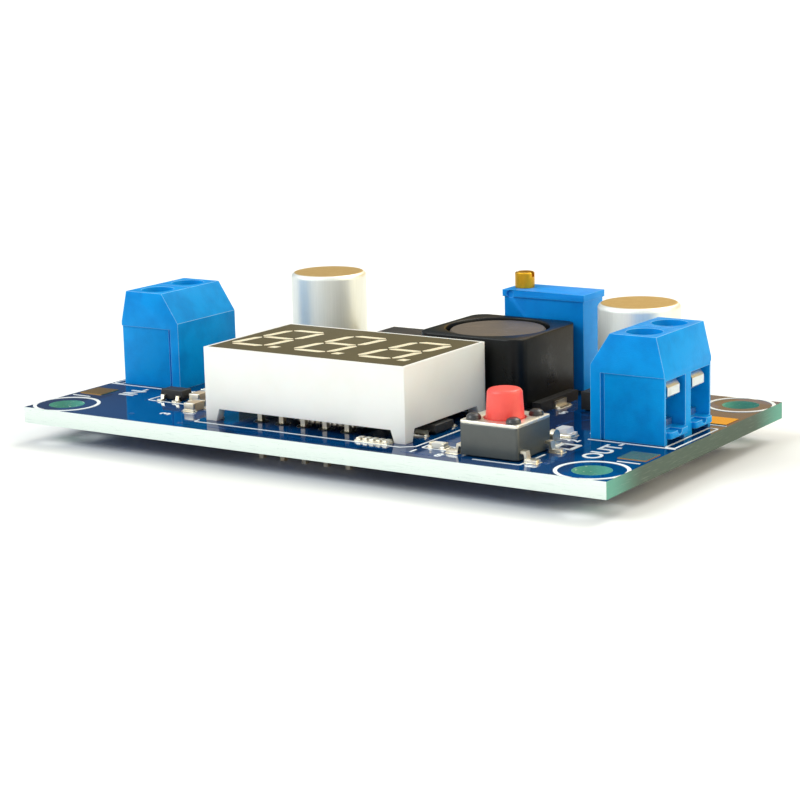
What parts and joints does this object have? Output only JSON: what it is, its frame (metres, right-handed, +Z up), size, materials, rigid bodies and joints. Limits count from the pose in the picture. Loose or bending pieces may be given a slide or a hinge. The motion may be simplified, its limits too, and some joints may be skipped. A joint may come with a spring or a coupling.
{
  "type": "step-down converter module",
  "caption": "Adjustable step-down converter board with screw terminals, a digital voltage display, a push button, a trimmer, an inductor and capacitors.",
  "frame": {"origin": "under the middle of the board, on the plane of the lead ends that it stands on", "axes": "+X along the board from its input to its output terminals, +Y from the display edge to the rear edge, +Z up from the board's component side"},
  "size_m": [0.066, 0.036, 0.0152],
  "materials": {
    "solder_mask": "glossy deep blue solder mask",
    "tinned_copper": "bare tinned and gilded copper",
    "solder": "bright solder",
    "terminal_plastic": "satin azure moulding",
    "plated_steel": "nickel plated steel",
    "display_plastic": "white moulding",
    "display_film": "dark face film",
    "light_bar": "milky cream light bars",
    "carrier": "dark carrier",
    "button_plastic": "charcoal moulding",
    "button_steel": "silver cover",
    "plunger_plastic": "coral red plunger",
    "dome_metal": "spring dome",
    "trimmer_plastic": "azure moulding",
    "brass": "bare brass",
    "wheel_plastic": "ivory moulding",
    "ceramic_element": "white ceramic",
    "ferrite": "dark grey ferrite",
    "winding": "enamelled copper wire",
    "can_metal": "satin aluminium can",
    "black_moulding": "black epoxy moulding",
    "lead_metal": "tinned leads",
    "glass_blue": "dark blue glass",
    "lens": "milky lens",
    "chip_ceramic": "pale ceramic",
    "chip_tan": "tan ceramic"
  },
  "bodies": {
    "board": {"circuit_board": "solder_mask", "wire_pads": "tinned_copper", "solder_joints": "solder", "in_terminal_housing": "terminal_plastic", "in_terminal_clamps": "plated_steel", "out_terminal_housing": "terminal_plastic", "out_terminal_clamps": "plated_steel", "display_shell": "display_plastic", "display_face": "display_film", "display_light_bars": "light_bar", "display_carrier": "carrier", "display_pins": "lead_metal", "button_base": "button_plastic", "button_cover": "button_steel", "button_rivets": "button_plastic", "button_dome": "dome_metal", "button_legs": "lead_metal", "trimmer_housing": "trimmer_plastic", "trimmer_element": "ceramic_element", "trimmer_foot": "trimmer_plastic", "trimmer_pins": "lead_metal", "inductor_shield": "ferrite", "inductor_drum": "ferrite", "inductor_winding": "winding", "inductor_base": "black_moulding", "inductor_contacts": "lead_metal", "capacitor_cans": "can_metal", "capacitor_bases": "black_moulding", "capacitor_contacts": "lead_metal", "regulator_body": "black_moulding", "regulator_tab": "lead_metal", "regulator_leads": "lead_metal", "flywheel_diode_body": "black_moulding", "flywheel_diode_contacts": "lead_metal", "flat_diode_body": "black_moulding", "flat_diode_contacts": "lead_metal", "glass_diode_body": "glass_blue", "glass_diode_caps": "lead_metal", "indicator_body": "display_plastic", "indicator_lens": "lens", "controller_body": "black_moulding", "controller_legs": "lead_metal", "logic_supply_body": "black_moulding", "logic_supply_legs": "lead_metal", "resistor_bodies": "chip_ceramic", "resistor_ends": "lead_metal", "chip_capacitor_bodies": "chip_tan", "chip_capacitor_ends": "lead_metal"},
    "in_front_leaf": {"in_front_leaf": "plated_steel"},
    "in_front_screw": {"in_front_screw": "plated_steel"},
    "in_rear_leaf": {"in_rear_leaf": "plated_steel"},
    "in_rear_screw": {"in_rear_screw": "plated_steel"},
    "out_front_leaf": {"out_front_leaf": "plated_steel"},
    "out_front_screw": {"out_front_screw": "plated_steel"},
    "out_rear_leaf": {"out_rear_leaf": "plated_steel"},
    "out_rear_screw": {"out_rear_screw": "plated_steel"},
    "button_plunger": {"button_plunger": "plunger_plastic"},
    "trimmer_screw": {"trimmer_screw": "brass"},
    "trimmer_wiper_wheel": {"trimmer_wiper_wheel": "wheel_plastic"}
  },
  "joints": [
    {"name": "in_front_clamp", "type": "slide", "parent": "board", "child": "in_front_leaf", "axis": [0, 0, 1], "range_m": [-0.0012, 0]},
    {"name": "in_front_turn", "type": "hinge", "parent": "in_front_leaf", "child": "in_front_screw", "pos_m": [-0.02835, -0.002, 0.0115], "axis": [0, 0, 1], "range_deg": [-961, 0]},
    {"name": "in_rear_clamp", "type": "slide", "parent": "board", "child": "in_rear_leaf", "axis": [0, 0, 1], "range_m": [-0.0012, 0]},
    {"name": "in_rear_turn", "type": "hinge", "parent": "in_rear_leaf", "child": "in_rear_screw", "pos_m": [-0.02835, 0.003, 0.0115], "axis": [0, 0, 1], "range_deg": [-961, 0]},
    {"name": "out_front_clamp", "type": "slide", "parent": "board", "child": "out_front_leaf", "axis": [0, 0, 1], "range_m": [-0.0012, 0]},
    {"name": "out_front_turn", "type": "hinge", "parent": "out_front_leaf", "child": "out_front_screw", "pos_m": [0.02835, -0.002, 0.0115], "axis": [0, 0, 1], "range_deg": [-961, 0]},
    {"name": "out_rear_clamp", "type": "slide", "parent": "board", "child": "out_rear_leaf", "axis": [0, 0, 1], "range_m": [-0.0012, 0]},
    {"name": "out_rear_turn", "type": "hinge", "parent": "out_rear_leaf", "child": "out_rear_screw", "pos_m": [0.02835, 0.003, 0.0115], "axis": [0, 0, 1], "range_deg": [-961, 0]},
    {"name": "button_press", "type": "slide", "parent": "board", "child": "button_plunger", "axis": [0, 0, 1], "range_m": [-0.00025, 0], "stiffness_N_per_m": 1000},
    {"name": "trimmer_turn", "type": "hinge", "parent": "board", "child": "trimmer_screw", "pos_m": [0.0061, 0.01474, 0.0136], "axis": [0, 0, 1], "range_deg": [-4500, 4500]},
    {"name": "wiper_turn", "type": "hinge", "parent": "board", "child": "trimmer_wiper_wheel", "pos_m": [0.00945, 0.01474, 0.009], "axis": [0, 1, 0], "range_deg": [-141, 141]}
  ],
  "couplings": [
    {"joint": "in_front_turn", "follows": "in_front_clamp", "rad_per_m": 13966},
    {"joint": "in_rear_turn", "follows": "in_rear_clamp", "rad_per_m": 13966},
    {"joint": "out_front_turn", "follows": "out_front_clamp", "rad_per_m": 13966},
    {"joint": "out_rear_turn", "follows": "out_rear_clamp", "rad_per_m": 13966},
    {"joint": "wiper_turn", "follows": "trimmer_turn", "ratio": 0.03125}
  ]
}
